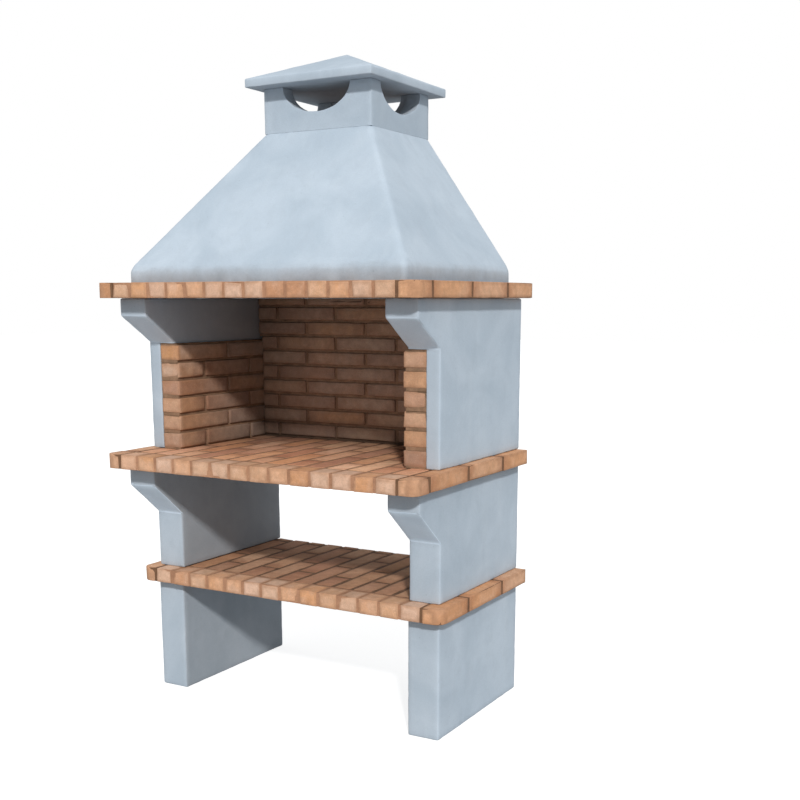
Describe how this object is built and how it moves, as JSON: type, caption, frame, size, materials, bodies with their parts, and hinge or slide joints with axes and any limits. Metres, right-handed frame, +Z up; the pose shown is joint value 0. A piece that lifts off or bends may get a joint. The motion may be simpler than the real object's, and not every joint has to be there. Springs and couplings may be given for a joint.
{
  "type": "masonry barbecue",
  "caption": "Free-standing garden barbecue of concrete walls and brick-edged slabs, with a brick-lined firebox, a tapering smoke hood and a vented chimney.",
  "frame": {"origin": "on the ground, at the middle of the object's bounding box", "axes": "+Z up, -Y towards the front with the firebox opening, +X to the right as seen from the front"},
  "size_m": [1.072, 0.749, 1.928],
  "materials": {
    "concrete": "cast concrete, matt, bluish grey",
    "brick_front": "fired clay brick, matt, light orange",
    "brick_edge": "fired clay brick, matt, orange",
    "brick_paving": "fired clay brick, matt, brownish orange",
    "brick_lining": "fired clay brick, matt, orange brown, raked dark joints"
  },
  "bodies": {
    "root": {"left_leg": "concrete", "left_middle_wall": "concrete", "left_upper_wall": "concrete", "left_lining_course_1": "brick_lining", "left_lining_course_2": "brick_lining", "left_lining_course_3": "brick_lining", "left_lining_course_4": "brick_lining", "left_lining_course_5": "brick_lining", "left_lining_course_6": "brick_lining", "right_leg": "concrete", "right_middle_wall": "concrete", "right_upper_wall": "concrete", "right_lining_course_1": "brick_lining", "right_lining_course_2": "brick_lining", "right_lining_course_3": "brick_lining", "right_lining_course_4": "brick_lining", "right_lining_course_5": "brick_lining", "right_lining_course_6": "brick_lining", "lower_shelf_bed": "concrete", "lower_shelf_front_headers": "brick_front", "lower_shelf_left_edging": "brick_edge", "lower_shelf_right_edging": "brick_edge", "lower_shelf_paving": "brick_paving", "hearth_bed": "concrete", "hearth_front_headers": "brick_front", "hearth_left_edging": "brick_edge", "hearth_right_edging": "brick_edge", "hearth_paving": "brick_paving", "mantel_bed": "concrete", "mantel_front_headers": "brick_front", "mantel_left_edging": "brick_edge", "mantel_right_edging": "brick_edge", "back_panel": "concrete", "back_lining_course_1": "brick_lining", "back_lining_course_2": "brick_lining", "back_lining_course_3": "brick_lining", "back_lining_course_4": "brick_lining", "back_lining_course_5": "brick_lining", "back_lining_course_6": "brick_lining", "back_lining_course_7": "brick_lining", "back_lining_course_8": "brick_lining", "back_lining_course_9": "brick_lining", "back_lining_course_10": "brick_lining", "hood": "concrete", "chimney_collar": "concrete", "chimney_cap": "concrete"}
  },
  "joints": []
}
